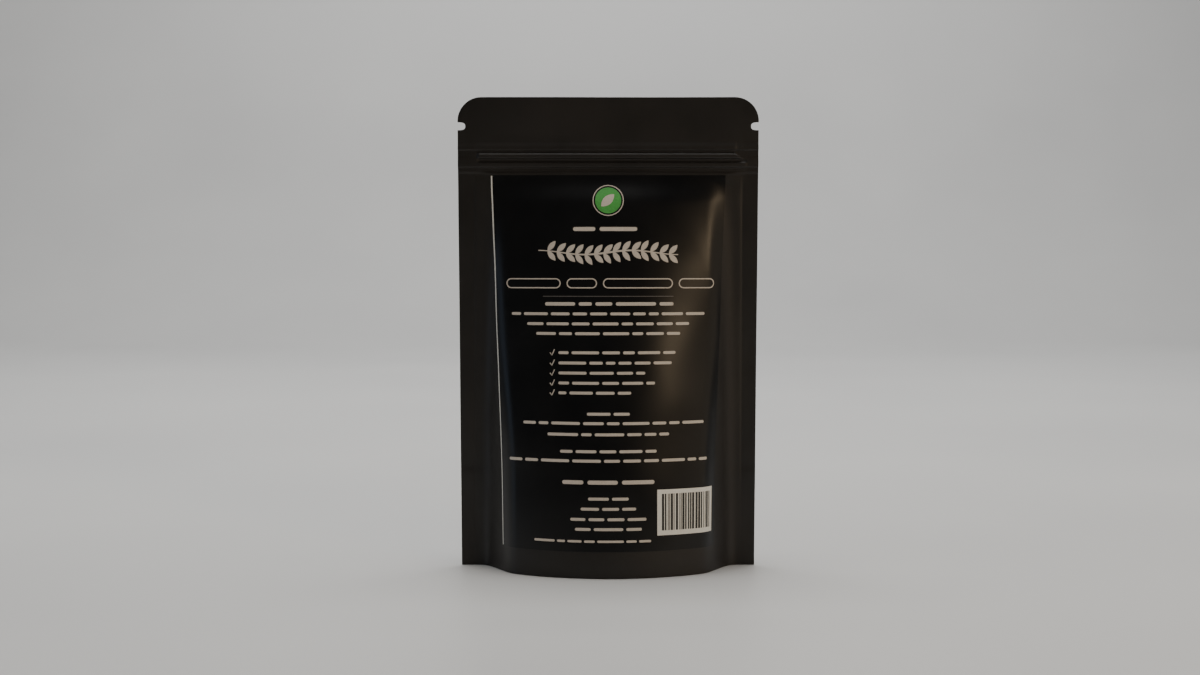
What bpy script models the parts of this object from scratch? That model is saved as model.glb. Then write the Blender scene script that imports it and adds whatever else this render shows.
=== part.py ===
"""A filled stand-up pouch, closed: black film, a press-to-close zip, a label, and a filling of alder cones.

Metres, +Z up. The pouch stands on the plane z = 0 with its front towards -Y, and the origin is
under its middle. Front and back film mirror each other in the plane y = 0, so one function,
film_depth, gives the distance of both from that plane.
"""

import math
import random

import bmesh
import bpy
import numpy as np
from mathutils import Matrix, Vector

# Driving dimensions of the pouch.
WIDTH = 0.130
HEIGHT = 0.2028
BASE_DEPTH = 0.0322
SIDE_PULL_IN = 0.0013
CORNER_RADIUS = 0.0104
FILM = 0.0004
GAP = 0.0003

# The filled shape: how the section across falls from its crown to the side seals, and how the
# depth falls from the foot to the zip.
SECTION_SHOULDER = 0.0365
SECTION_FOOT = 0.0540
CROWN_FALL = 0.244
DEPTH_END = 0.1787
DEPTH_POWER = 1.45
DEPTH_FADE_FROM = 0.1567
DEPTH_FADE_TO = 0.1767
CROWN_STEPS = 4
FLANK_STEPS = 6

# The foot: the skirt where gusset and panel are sealed together, and above it the gusset's legs,
# each a quarter ellipse. GUSSET_SPREAD sets how much lower the arch gets as its legs move apart.
# The fold at the top is a small tip that vanishes where the legs spread by more than FOLD_SPREAD.
SKIRT_HEIGHT = 0.006
GUSSET_LEG = 0.040
GUSSET_SPREAD = 1.074
GUSSET_STEPS = 8
FOLD_SPREAD = 0.001
FOLD_NARROW = 0.7

# The step in the side seals at the gusset's top, and the bulge at which it has faded out.
SEAM_STEP_FROM = 0.042
SEAM_STEP_TO = 0.048
SEAM_BLEND = 0.006

# The tear notches, measured down from the top edge.
NOTCH_DROP = 0.0125
NOTCH_HEIGHT = 0.0034
NOTCH_DEPTH = 0.0033
NOTCH_ROWS = (-1.0, -0.8, 0.0, 0.8, 1.0)
CORNER_TURNS = (0, 22, 45, 68, 90)

# The zip: two beads on the front strip snap into two grooves on the back strip.
ZIP_DROP = 0.0270
ZIP_PITCH = 0.0039
ZIP_BAND = 0.0105
ZIP_PLATEAU = 0.0056
ZIP_SHOULDER = 0.0080
ZIP_CRUSH_FROM = 0.0550
ZIP_CRUSH_TO = 0.0562
ZIP_END = 0.0645
ZIP_ROOT = 0.0001
ZIP_SLACK = 0.00025
BEAD_REACH = 0.0013
BEAD_END = 0.0545
BEAD_NECK = 0.0003
BEAD_NECK_REACH = 0.00045
BEAD_HEAD = 0.0007
BEAD_HEAD_REACH = (0.0006, 0.0009)
BEAD_TIP = 0.00023
CLAW_OUTER = 0.0015
CLAW_INNER = 0.0010
CLAW_LIP = 0.0006
CLAW_LIP_REACH = 0.0010
RIDGE_HEIGHT = 0.0005
RIDGE_HALF_WIDTH = 0.0014

# The label on the front.
LABEL_WIDTH = 0.100
LABEL_BOTTOM = 0.0112
LABEL_TOP = 0.1692
LABEL_THICKNESS = 0.0003
LABEL_STRAIGHT = 0.043

# The filling.
CONE_LENGTH = 0.022
CONE_WIDTH = 0.0145
CONE_SIDES = 8
CONE_RINGS = 4
CONE_RELIEF = 0.10
HEAP_FLOOR = 0.023
HEAP_LAYERS = 4
HEAP_STEP = (0.0165, 0.0145, 0.0120)
HEAP_COLUMNS = 4
HEAP_REACH = 0.0075
HEAP_LIFT = 0.001
HEAP_SEED = 5

HALF_WIDTH = WIDTH / 2
ZIP_HEIGHT = HEIGHT - ZIP_DROP
TWO_LAYERS = GAP / 2 + FILM / 2
FOUR_LAYERS = TWO_LAYERS + FILM + GAP
ZIP_FLANGE = (BEAD_REACH + ZIP_SLACK) / 2 + FILM / 2
ZIP_DEPTH = ZIP_FLANGE + FILM + GAP


# Shape of the film, as formulas.


def smooth(t):
    """0 below t = 0, 1 above t = 1, and a smooth S between them."""
    t = np.clip(t, 0.0, 1.0)
    return t * t * (3.0 - 2.0 * t)


def half_width(z):
    """Half the pouch's width at height z, with the rounded top corners and the tear notches."""
    width = HALF_WIDTH - SIDE_PULL_IN * (1.0 - z / HEIGHT)
    above = max(z - (HEIGHT - CORNER_RADIUS), 0.0)
    width -= CORNER_RADIUS - math.sqrt(max(CORNER_RADIUS**2 - above**2, 0.0))
    from_notch = (z - (HEIGHT - NOTCH_DROP)) / (NOTCH_HEIGHT / 2)
    if abs(from_notch) < 1.0:
        width -= NOTCH_DEPTH * math.sqrt(1.0 - from_notch**2)
    return width


def fill_depth(x, z):
    """How far the filling pushes the film out: a flat crown with steep flanks, deepest at the foot."""
    crown = 1.0 - CROWN_FALL * (x / SECTION_SHOULDER) ** 2
    flank = smooth((SECTION_FOOT - np.abs(x)) / (SECTION_FOOT - SECTION_SHOULDER))
    up = np.clip((z - SKIRT_HEIGHT) / (DEPTH_END - SKIRT_HEIGHT), 0.0, 1.0)
    fade = smooth((DEPTH_FADE_TO - z) / (DEPTH_FADE_TO - DEPTH_FADE_FROM))
    return BASE_DEPTH * (1.0 - up**DEPTH_POWER) * fade * crown * flank


def zip_depth(x, z):
    """The zip's raised band with a ridge over each bead; at the ends the side seals crush it flat."""
    across = np.abs(z - ZIP_HEIGHT)
    plateau = smooth((ZIP_SHOULDER - across) / (ZIP_SHOULDER - ZIP_PLATEAU))
    crushed = smooth((np.abs(x) - ZIP_CRUSH_FROM) / (ZIP_CRUSH_TO - ZIP_CRUSH_FROM))
    rise = (1.0 - crushed) * ZIP_DEPTH + crushed * FOUR_LAYERS - TWO_LAYERS
    from_bead = np.abs(across - ZIP_PITCH / 2)
    ridge = smooth(1.0 - from_bead / RIDGE_HALF_WIDTH) * RIDGE_HEIGHT * (1.0 - crushed)
    return plateau * rise + ridge


def film_depth(x, z):
    """Distance of the middle of the front or back film from the plane y = 0.

    In the side seals the film lies on two layers, and where the gusset is between them on four.
    """
    fill = fill_depth(x, z)
    over_gusset = smooth((SEAM_STEP_TO - z) / (SEAM_STEP_TO - SEAM_STEP_FROM))
    raised = 1.0 - (1.0 - over_gusset) * (1.0 - smooth(fill / SEAM_BLEND))
    return TWO_LAYERS + raised * (FOUR_LAYERS - TWO_LAYERS) + fill + zip_depth(x, z)


def film_normal(x, z):
    """Outward normal of the front film, from the slopes of film_depth."""
    step = 1e-5
    slope_x = (film_depth(x + step, z) - film_depth(x - step, z)) / (2 * step)
    slope_z = (film_depth(x, z + step) - film_depth(x, z - step)) / (2 * step)
    return Vector((-slope_x, -1.0, -slope_z)).normalized()


# Mesh helpers.


def add_object(name, mesh, material):
    obj = bpy.data.objects.new(name, mesh)
    bpy.context.scene.collection.objects.link(obj)
    mesh.materials.append(material)
    return obj


def grid_mesh(name, rows):
    """A mesh of quads through rows of points, all rows alike in length."""
    mesh = bpy.data.meshes.new(name)
    bm = bmesh.new()
    verts = [[bm.verts.new(point) for point in row] for row in rows]
    for lower, upper in zip(verts, verts[1:]):
        for a, b, c, d in zip(lower, lower[1:], upper[1:], upper):
            bm.faces.new((a, b, c, d))
    bm.to_mesh(mesh)
    bm.free()
    return mesh


def film_sheet(name, rows, thickness, material):
    """A sheet of film as thick as given, half to each side of the surface through the rows."""
    sheet = add_object(name, grid_mesh(name, rows), material)
    wall = sheet.modifiers.new("Wall", "SOLIDIFY")
    wall.thickness = thickness
    wall.offset = 0.0
    wall.use_even_offset = True
    sheet.data.shade_smooth()
    sheet.data.set_sharp_from_angle(angle=math.radians(40))
    return sheet


def apply_modifiers(obj):
    """Leaves the object with the mesh that its modifiers make."""
    graph = bpy.context.evaluated_depsgraph_get()
    mesh = bpy.data.meshes.new_from_object(obj.evaluated_get(graph))
    obj.modifiers.clear()
    obj.data = mesh


def join_all(target, others):
    """Joins the others into the target with one Boolean union, then removes them."""
    group = bpy.data.collections.new(target.name + "_pieces")
    bpy.context.scene.collection.children.link(group)
    for obj in others:
        bpy.context.scene.collection.objects.unlink(obj)
        group.objects.link(obj)
    union = target.modifiers.new("Union", "BOOLEAN")
    union.operation = "UNION"
    union.operand_type = "COLLECTION"
    union.collection = group
    union.solver = "MANIFOLD"
    apply_modifiers(target)
    for obj in others:
        bpy.data.objects.remove(obj)
    bpy.data.collections.remove(group)


def surface(name, colour, roughness):
    """A plain Principled material."""
    material = bpy.data.materials.new(name)
    material.use_nodes = True
    shader = material.node_tree.nodes["Principled BSDF"]
    shader.inputs["Base Color"].default_value = (*colour, 1.0)
    shader.inputs["Roughness"].default_value = roughness
    shader.inputs["Metallic"].default_value = 0.0
    return material


# Where the grid lines of the sheets run.


def mirrored(values):
    """The values with their negatives, in rising order, for values from 0 up."""
    return [-v for v in reversed(values[1:])] + list(values)


def columns_across():
    """Shares of the half width: wide steps on the crown, narrow ones on the flanks, and the seal."""
    flank_step = (SECTION_FOOT - SECTION_SHOULDER) / FLANK_STEPS
    flank = SECTION_SHOULDER + flank_step * np.arange(-1, FLANK_STEPS + 1)
    crown = np.linspace(0.0, flank[0], CROWN_STEPS, endpoint=False)
    seal = [ZIP_CRUSH_FROM, ZIP_CRUSH_TO, HALF_WIDTH]
    return mirrored([float(x) / HALF_WIDTH for x in [*crown, *flank, *seal]])


def rows_up():
    """Heights of the film's grid lines: few on the body, close on the zip, notches and corners."""
    foot = [0.0, *np.linspace(SKIRT_HEIGHT, SEAM_STEP_FROM, 4)]
    body = np.linspace(SEAM_STEP_TO, DEPTH_FADE_FROM, 9)
    fade = [(DEPTH_FADE_FROM + ZIP_HEIGHT - ZIP_SHOULDER) / 2]
    ridge = [RIDGE_HALF_WIDTH, RIDGE_HALF_WIDTH / 2, 0.0, -RIDGE_HALF_WIDTH / 2]
    offsets = [ZIP_SHOULDER, ZIP_PLATEAU, *[ZIP_PITCH / 2 + step for step in ridge], 0.0]
    band = sorted({ZIP_HEIGHT + side * offset for offset in offsets for side in (-1, 1)})
    notch = [HEIGHT - NOTCH_DROP + NOTCH_HEIGHT / 2 * share for share in NOTCH_ROWS]
    turns = [math.radians(angle) for angle in CORNER_TURNS]
    corner = [HEIGHT - CORNER_RADIUS * (1.0 - math.sin(turn)) for turn in turns]
    return [*foot, *body, *fade, *band, *notch, *corner]


# Pieces.


def make_panel(name, side, material):
    """One film panel. side is -1 for the front and 1 for the back."""
    rows = []
    for z in rows_up():
        across = [share * half_width(z) for share in columns_across()]
        rows.append([(-side * x, side * film_depth(x, z), z) for x in across])
    return film_sheet(name, rows, FILM, material)


def skirt_point(x):
    """Where the gusset's skirt stands behind the panel's point at x: one film and one gap inwards."""
    step = 1e-5
    slope = (fill_depth(x + step, 0.0) - fill_depth(x - step, 0.0)) / (2 * step)
    length = math.hypot(slope, 1.0)
    inwards = FILM + GAP
    depth = FOUR_LAYERS + fill_depth(x, 0.0) - inwards / length
    return x + inwards * slope / length, float(depth)


def gusset_line(reach):
    """The gusset's section where its skirt stands at y = reach: skirt, arch with its fold, skirt."""
    spread = reach - TWO_LAYERS
    rise = math.sqrt(max((GUSSET_LEG - SKIRT_HEIGHT) ** 2 - GUSSET_SPREAD * spread**2, 0.0))
    fold = TWO_LAYERS / (1.0 + (spread / FOLD_SPREAD) ** 2)
    leg = [(reach, 0.0)]
    for turn in np.linspace(0.0, math.pi / 2, GUSSET_STEPS + 1):
        height = SKIRT_HEIGHT + (rise - fold) * math.sin(turn)
        leg.append((TWO_LAYERS + spread * math.cos(turn), height))
    top = SKIRT_HEIGHT + rise
    leg.append((TWO_LAYERS * FOLD_NARROW, top - fold * (1.0 - FOLD_NARROW)))
    front = [(-y, z) for y, z in leg]
    back = [(y, z) for y, z in reversed(leg)]
    return [*front, (0.0, top), *back]


def make_gusset(material):
    """The folded film between the panels that opens into the pouch's foot."""
    rows = []
    for share in columns_across():
        x, reach = skirt_point(share * half_width(0.0))
        rows.append([(x, y, z) for y, z in gusset_line(reach)])
    return film_sheet("bottom_gusset", rows, FILM, material)


def make_zip_flange(name, side, material):
    """The flat band that carries the zip's profile, pinched together at its ends by the side seals."""
    ends = [ZIP_CRUSH_FROM, ZIP_CRUSH_TO, ZIP_END]
    columns = mirrored([0.0, *ends])
    rows = []
    for z in (ZIP_HEIGHT - ZIP_BAND / 2, ZIP_HEIGHT + ZIP_BAND / 2):
        depth = [TWO_LAYERS if abs(x) > ZIP_CRUSH_FROM else ZIP_FLANGE for x in columns]
        rows.append([(-side * x, side * d, z) for x, d in zip(columns, depth)])
    return film_sheet(name, rows, FILM, material)


def make_profile(outline, side, material):
    """An outline of (reach from the flange, height) points, extruded along the zip."""
    mesh = bpy.data.meshes.new("profile")
    bm = bmesh.new()
    face_of_flange = side * (ZIP_FLANGE - FILM / 2)
    ring = [bm.verts.new((-BEAD_END, face_of_flange - side * r, z)) for r, z in outline]
    face = bm.faces.new(ring)
    made = bmesh.ops.extrude_face_region(bm, geom=[face])
    moved = [v for v in made["geom"] if isinstance(v, bmesh.types.BMVert)]
    bmesh.ops.translate(bm, vec=(2 * BEAD_END, 0.0, 0.0), verts=moved)
    bmesh.ops.recalc_face_normals(bm, faces=bm.faces)
    bm.to_mesh(mesh)
    bm.free()
    return add_object("profile", mesh, material)


def bead_outline(z):
    """A bead: a neck with a wider, pointed head, centred at height z."""
    half = [(-ZIP_ROOT, BEAD_NECK), (BEAD_NECK_REACH, BEAD_NECK)]
    half += [(reach, BEAD_HEAD) for reach in BEAD_HEAD_REACH]
    half += [(BEAD_REACH, BEAD_TIP)]
    return [(r, z + h) for r, h in half] + [(r, z - h) for r, h in reversed(half)]


def claw_outline(z, side):
    """The claw on one side of a groove centred at height z, with a lip that holds the bead."""
    points = [(-ZIP_ROOT, CLAW_OUTER), (BEAD_REACH, CLAW_OUTER), (BEAD_REACH, CLAW_LIP)]
    points += [(CLAW_LIP_REACH, CLAW_INNER), (-ZIP_ROOT, CLAW_INNER)]
    return [(r, z + side * h) for r, h in points]


def make_zip_strips(material):
    """The front strip with its two beads and the back strip with its two grooves."""
    tracks = [ZIP_HEIGHT - ZIP_PITCH / 2, ZIP_HEIGHT + ZIP_PITCH / 2]
    front = make_zip_flange("zip_bead_strip", -1, material)
    apply_modifiers(front)
    join_all(front, [make_profile(bead_outline(z), -1, material) for z in tracks])
    back = make_zip_flange("zip_groove_strip", 1, material)
    apply_modifiers(back)
    claws = [claw_outline(z, side) for z in tracks for side in (-1, 1)]
    join_all(back, [make_profile(outline, 1, material) for outline in claws])


def label_edge(z):
    """The x of the label's side edge at height z: half its width, measured along the film."""
    x = np.linspace(0.0, HALF_WIDTH, 400)
    run = np.cumsum(np.hypot(np.diff(x), np.diff(film_depth(x, z))))
    return float(np.interp(LABEL_WIDTH / 2, run, x[1:]))


def make_label(material):
    """The label, laid round the front film: its width is measured along the film, not across it."""
    lift = FILM / 2 + GAP + LABEL_THICKNESS / 2
    shares = [share for share in columns_across() if abs(share) * HALF_WIDTH < LABEL_STRAIGHT]
    between = [z for z in rows_up() if LABEL_BOTTOM + 0.002 < z < LABEL_TOP - 0.001]
    rows = []
    for z in [LABEL_BOTTOM, *between, LABEL_TOP]:
        edge = label_edge(z)
        columns = [-edge, *[share * half_width(z) for share in shares], edge]
        points = [Vector((x, -film_depth(x, z), z)) + lift * film_normal(x, z) for x in columns]
        rows.append(points)
    return film_sheet("label", rows, LABEL_THICKNESS, material)


def cone_points():
    """Rings of a cone along Z: an egg shape whose scales stand out in a chequer pattern."""
    rings = []
    for ring in range(CONE_RINGS):
        turn = math.pi * (ring + 1) / (CONE_RINGS + 1)
        radius = CONE_WIDTH / 2 * math.sin(turn) ** 0.8
        points = []
        for side in range(CONE_SIDES):
            angle = 2 * math.pi * side / CONE_SIDES
            relief = 1.0 + CONE_RELIEF * (1 if (ring + side) % 2 else -1)
            x, y = radius * relief * math.cos(angle), radius * relief * math.sin(angle)
            points.append((x, y, -CONE_LENGTH / 2 * math.cos(turn)))
        rings.append(points)
    return rings


def make_cone(place, material):
    """One alder cone, moved by the matrix place."""
    mesh = bpy.data.meshes.new("cone")
    bm = bmesh.new()
    rings = [[bm.verts.new(p) for p in ring] for ring in cone_points()]
    for lower, upper in zip(rings, rings[1:]):
        for i in range(CONE_SIDES):
            j = (i + 1) % CONE_SIDES
            bm.faces.new((lower[i], lower[j], upper[j], upper[i]))
    for ring, end in ((rings[0], -1), (rings[-1], 1)):
        tip = bm.verts.new((0.0, 0.0, end * CONE_LENGTH / 2))
        for i in range(CONE_SIDES):
            bm.faces.new((ring[i], ring[(i + 1) % CONE_SIDES], tip))
    bmesh.ops.triangulate(bm, faces=bm.faces)
    bmesh.ops.recalc_face_normals(bm, faces=bm.faces)
    bmesh.ops.transform(bm, matrix=place, verts=bm.verts)
    bm.to_mesh(mesh)
    bm.free()
    return add_object("cone", mesh, material)


def gusset_top(x, y):
    """Height of the gusset's film over the point (x, y)."""
    line = [(a, b) for a, b in gusset_line(skirt_point(x)[1]) if b > SKIRT_HEIGHT / 2]
    return float(np.interp(y, [a for a, _ in line], [b for _, b in line]))


def lift_wanted(point):
    """How much higher a point of the heap has to be to clear the gusset."""
    step = 1e-4
    top = gusset_top(point.x, point.y)
    slope_x = (gusset_top(point.x + step, point.y) - top) / step
    slope_y = (gusset_top(point.x, point.y + step) - top) / step
    wall = (FILM / 2 + 2 * GAP) * math.sqrt(1.0 + slope_x**2 + slope_y**2)
    return top + wall - point.z


def heap_places():
    """Where the cones lie: layers from film to film, every other one shifted, leaning every way."""
    draw = random.Random(HEAP_SEED)
    step_x, step_y, step_z = HEAP_STEP
    clear = CONE_WIDTH / 2 * (1 + CONE_RELIEF) + FILM / 2 + GAP + HEAP_LIFT
    places = []
    for layer in range(HEAP_LAYERS):
        columns = HEAP_COLUMNS + layer % 2
        height = HEAP_FLOOR + layer * step_z
        for x in (np.arange(columns) - (columns - 1) / 2) * step_x:
            room = min(float(film_depth(x + dx, height)) for dx in (-HEAP_REACH, HEAP_REACH)) - clear
            count = max(int(2 * room / step_y) + 1, 0)
            for y in np.linspace(-room, room, count) * (count > 1):
                under = max(gusset_top(x + dx, y) for dx in (-HEAP_REACH, 0.0, HEAP_REACH))
                if under + clear > height + step_z / 2:
                    continue
                turn = Matrix.Rotation(draw.uniform(-0.5, 0.5), 4, "Z")
                lean = Matrix.Rotation(math.pi / 2 + draw.uniform(-0.4, 0.4), 4, "Y")
                spot = Matrix.Translation((x, y, max(height, under + clear)))
                places.append(spot @ turn @ lean)
    return places


def make_filling(material):
    """The heap of cones, joined where they touch and set down just above the gusset."""
    cones = [make_cone(place, material) for place in heap_places()]
    heap = cones[0]
    heap.name = "alder_cones"
    join_all(heap, cones[1:])
    places = [v.co for v in heap.data.vertices]
    middles = [(places[a] + places[b]) / 2 for a, b in heap.data.edge_keys]
    low = [point for point in places + middles if point.z < GUSSET_LEG]
    heap.data.transform(Matrix.Translation((0.0, 0.0, max(map(lift_wanted, low)))))


def clear_scene():
    for obj in list(bpy.data.objects):
        bpy.data.objects.remove(obj)


def build():
    clear_scene()
    black_film = surface("black_film", (0.020, 0.018, 0.016), 0.45)
    clear_plastic = surface("zip_plastic", (0.55, 0.56, 0.57), 0.35)
    label_black = surface("label_black", (0.006, 0.006, 0.006), 0.35)
    cone_brown = surface("cone_brown", (0.09, 0.05, 0.03), 0.85)
    make_panel("front_panel", -1, black_film)
    make_panel("back_panel", 1, black_film)
    make_gusset(black_film)
    make_zip_strips(clear_plastic)
    make_label(label_black)
    make_filling(cone_brown)


build()
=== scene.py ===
# %% [markdown]
# # A filled stand-up pouch, closed
# The object is a bag of thin, matte black film. It stands on its own foot, a press-to-close zip
# runs under its top edge, and a label lies round its bulging front. Two flat sheets and one folded
# sheet make the whole bag, so nearly every piece here is a surface y = f(x, z): one distance from
# the plane y = 0, with the filling's bulge, the zip's ridges and the steps of the seals added up.
# Everything is in metres, +Z is up, and the front looks towards -Y.

# %% Load the frame and keep its box
import math

import bpy
import numpy as np
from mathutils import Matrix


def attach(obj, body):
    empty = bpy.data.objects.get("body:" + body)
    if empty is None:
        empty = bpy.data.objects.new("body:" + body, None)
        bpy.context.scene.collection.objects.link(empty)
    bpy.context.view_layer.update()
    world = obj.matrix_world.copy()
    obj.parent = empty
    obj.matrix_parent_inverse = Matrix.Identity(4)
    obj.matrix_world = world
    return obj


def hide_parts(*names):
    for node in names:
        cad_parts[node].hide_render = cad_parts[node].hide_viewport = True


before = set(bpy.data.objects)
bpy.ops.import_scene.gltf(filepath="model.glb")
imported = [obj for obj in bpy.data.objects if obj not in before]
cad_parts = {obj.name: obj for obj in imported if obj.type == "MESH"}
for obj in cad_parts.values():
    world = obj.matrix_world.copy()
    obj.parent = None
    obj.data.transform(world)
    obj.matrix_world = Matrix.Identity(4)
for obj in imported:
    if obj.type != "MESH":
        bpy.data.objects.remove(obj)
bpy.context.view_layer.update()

MM = 0.001

# %% [markdown]
# ## The camera
# The photograph looks at the front from a little above the pouch's middle, with a lens of about
# 50 mm on a 36 mm sensor. Its height and tilt follow from the foot: the front's lower edge bends
# down in the picture because it stands nearer to the camera than the side seals.

# %% Camera
CAMERA_PLACE = (-0.0035, -0.722, 0.1327)
LOOKS_DOWN = math.radians(2.66)
LENS, SENSOR = 50.0, 36.0  # mm

camera_data = bpy.data.cameras.new("camera")
camera_data.lens = LENS
camera_data.sensor_width = SENSOR
camera = bpy.data.objects.new("camera", camera_data)
camera.location = CAMERA_PLACE
camera.rotation_euler = (math.radians(90.0) - LOOKS_DOWN, 0.0, 0.0)
bpy.context.scene.collection.objects.link(camera)
bpy.context.scene.camera = camera
print("camera", CAMERA_PLACE, "m")

# %% [markdown]
# ## The outline and the bulge
# A filled pouch is not a box with rounded edges. Across, the film has a nearly flat crown, steep
# flanks and then the flat side seals. Upwards, the depth falls in one sweep from the foot to the
# zip, where front and back meet again, and the cross-section softens from a filled box's to a
# lens's. So the bulge is a product: depth upwards times the crown's fall times the flank's step.

# %% Dimensions of the outline and the bulge
HEIGHT = 202.8 * MM
HALF_WIDTH = 65.0 * MM
SIDE_PULL_IN = 1.3 * MM
CORNER_RADIUS = 10.4 * MM
NOTCH_HEIGHT = 3.4 * MM
NOTCH_DEPTH = 3.3 * MM
NOTCH_PLACE = HEIGHT - 12.5 * MM

BASE_DEPTH = 32.2 * MM
CROWN_HALF = 36.5 * MM
CROWN_FALL = (0.31, 0.38)  # at the filling, above it
SHOULDER = (38.0 * MM, 42.0 * MM)  # at the filling, above it
FLANK_END = 58.0 * MM
SOFTENS = (45.0 * MM, 105.0 * MM)
SKIRT = 6.0 * MM
DEPTH_END = 178.7 * MM
DEPTH_POWER = 1.38
FADE = (176.7 * MM, 156.7 * MM)  # no bulge above the first height, all of it below the second


def smooth(t):
    """0 below t = 0, 1 above t = 1, and between them 3 t squared minus 2 t cubed."""
    t = np.clip(t, 0.0, 1.0)
    return t * t * (3.0 - 2.0 * t)


def smoother(t):
    """Like smooth, but its curvature is zero at both ends too: t cubed times (6 t squared minus
    15 t plus 10)."""
    t = np.clip(t, 0.0, 1.0)
    return t**3 * (t * (6.0 * t - 15.0) + 10.0)


def ease(value, start, end):
    """0 at start and 1 at end, with the smooth step between. The start may be the larger one."""
    return smooth((value - start) / (end - start))


def half_width(z):
    """Half the width at height z: the sides draw in a little towards the foot, and above the
    corners' centres a quarter circle is taken off."""
    above = np.clip(z - (HEIGHT - CORNER_RADIUS), 0.0, CORNER_RADIUS)
    corner = CORNER_RADIUS - np.sqrt(CORNER_RADIUS**2 - above**2)
    return HALF_WIDTH - SIDE_PULL_IN * (1.0 - z / HEIGHT) - corner


def notch(z):
    """How deep the tear notch cuts in at height z: a slot with a rounded end, from the curve
    |t| cubed + |depth| cubed = 1, where t runs from -1 to 1 over the notch's height."""
    t = np.clip(np.abs(z - NOTCH_PLACE) / (NOTCH_HEIGHT / 2), 0.0, 1.0)
    return NOTCH_DEPTH * (1.0 - t**3) ** (1 / 3)


def bulge(x, z):
    """How far the filling pushes the film out: base depth, times a falling power of the height,
    times a parabola over the crown, times a smooth step on the flanks, and faded out at the zip.
    Parabola and step go over from their first to their second values above the filling."""
    soft = ease(z, *SOFTENS)
    fall, shoulder = (a + (b - a) * soft for a, b in (CROWN_FALL, SHOULDER))
    crown = 1.0 - fall * (x / CROWN_HALF) ** 2
    flank = smoother((FLANK_END - np.abs(x)) / (FLANK_END - shoulder))
    up = np.clip((z - SKIRT) / (DEPTH_END - SKIRT), 0.0, 1.0)
    return BASE_DEPTH * (1.0 - up**DEPTH_POWER) * ease(z, *FADE) * crown * flank


print("bulge at foot, middle and label top, mm:",
      [round(float(bulge(0.0, z * MM)) / MM, 1) for z in (0, 100, 168)])

# %% [markdown]
# ## The zip's relief
# The zip is two strips between the films, with two tracks that snap together. From outside only
# the film over them shows: a low bump, a sharp upper ridge, a softer lower one, and hollows in
# between. At both ends the hot side seals have pressed the tracks flat, so the ridges stop in a
# crisp step and a shallower relief runs on to the edge. The profile is a flight of smooth steps,
# because each step is one band of light or shade in the photograph: a rise going down catches the
# light from above, a fall lies in shade.

# %% Zip relief
OPEN_STEPS = (  # (middle in mm, run in mm, height in mm) of each smooth rise or fall, going down
    (182.6, 3.4, 0.85), (180.1, 0.5, -0.58), (178.9, 1.1, 0.48), (178.25, 1.1, 0.47),
    (176.5, 0.9, -0.93), (174.8, 1.4, 0.72), (172.7, 0.8, -0.72), (170.4, 1.5, 0.35),
    (166.2, 6.0, -0.64),
)
CRUSHED_STEPS = (
    (182.4, 3.0, 0.66), (180.1, 0.5, -0.46), (175.9, 4.0, 0.62), (172.7, 0.6, -0.60),
    (170.3, 1.5, -0.22),
)
LEFT_STOP = (55.5 * MM, 1.4 * MM)  # (distance from the middle, run)
RIGHT_STOP = (54.6 * MM, 1.2 * MM)
STOP_SPREAD = (172.2 * MM, 168.7 * MM)
SPREAD_REACH = 10.0 * MM
RIGHT_SLANT = (178.4 * MM, 1.35, 4.4 * MM)  # (height where it starts, lean, most)


def stairs(steps, z):
    """The sum of smooth steps: each adds its height as z goes down through its run."""
    return sum(h * smooth((c + run / 2 - z / MM) / run) for c, run, h in steps) * MM


def crushed(x, z):
    """1 beyond the zip's stops and 0 between them. The right stop leans outwards as it goes
    down, by the lean times the height and not past the most, and below the tracks both stops
    spread inwards to a long run."""
    top, lean, most = RIGHT_SLANT
    slant = np.clip((top - z) * lean, 0.0, most)
    spread = SPREAD_REACH * ease(z, *STOP_SPREAD)
    left = smooth((-x - LEFT_STOP[0] + spread) / (LEFT_STOP[1] + spread))
    right = smooth((x - RIGHT_STOP[0] - slant + spread) / (RIGHT_STOP[1] + spread))
    return left + right


def zip_relief(x, z):
    """Height of the film over the zip: the open profile between the stops, the crushed one
    beyond them."""
    share = crushed(x, z)
    return (1.0 - share) * stairs(OPEN_STEPS, z) + share * stairs(CRUSHED_STEPS, z)


print("film over the upper and the lower track, mm:",
      [round(float(zip_relief(0.0, z * MM)) / MM, 2) for z in (177.7, 173.8)])

# %% [markdown]
# ## Film on film
# Heat fuses the films in the seals, so there they lie hard on each other, two layers thick, or
# four where the folded gusset lies between them. Where a seal ends the film lifts by a hair: that
# thin step is what makes a real seal's edge visible. Real film also never lies quite flat, so a
# few long, low waves run over the body, and the loose header above the zip bends as one.

# %% Film surfaces
FILM = 0.14 * MM
SKIN_GAP = 0.02 * MM
TWO_LAYERS = FILM / 2 + SKIN_GAP / 2
FOUR_LAYERS = TWO_LAYERS + FILM + SKIN_GAP
BODY_LAYERS = 1.25 * MM - FILM / 2
SEAM_BLEND = 6.0 * MM
GUSSET_LEG = 40.0 * MM
GUSSET_STEP = 3.5 * MM
SEAL_EDGE = 58.0 * MM
SEAL_STEP = 0.05 * MM
SEAL_STEP_TOP = (170.0 * MM, 166.0 * MM)
SIDE_SEAL_RUN = 0.7 * MM
FOOT_SEAL_RUN = 0.8 * MM
FOOT_SEAL_RISE = 30.0 * MM

TOE_SLOPE = 0.26
TOE_REACH = 4.0 * MM
TOE_START = (-0.2 * MM, 0.8 * MM)
TOE_FOOT = (8.0 * MM, 58.0 * MM)
TOE_TOP = (170.0 * MM, 158.0 * MM)

WAVES = (  # (waves per metre across, waves per metre up, phase, height)
    (9.0, 21.0, 0.4, 0.10 * MM), (-17.0, 12.0, 2.1, 0.09 * MM),
    (27.0, 8.0, 4.0, 0.05 * MM), (5.0, -34.0, 1.2, 0.05 * MM),
)
WAVES_FOOT = 20.0 * MM

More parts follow.
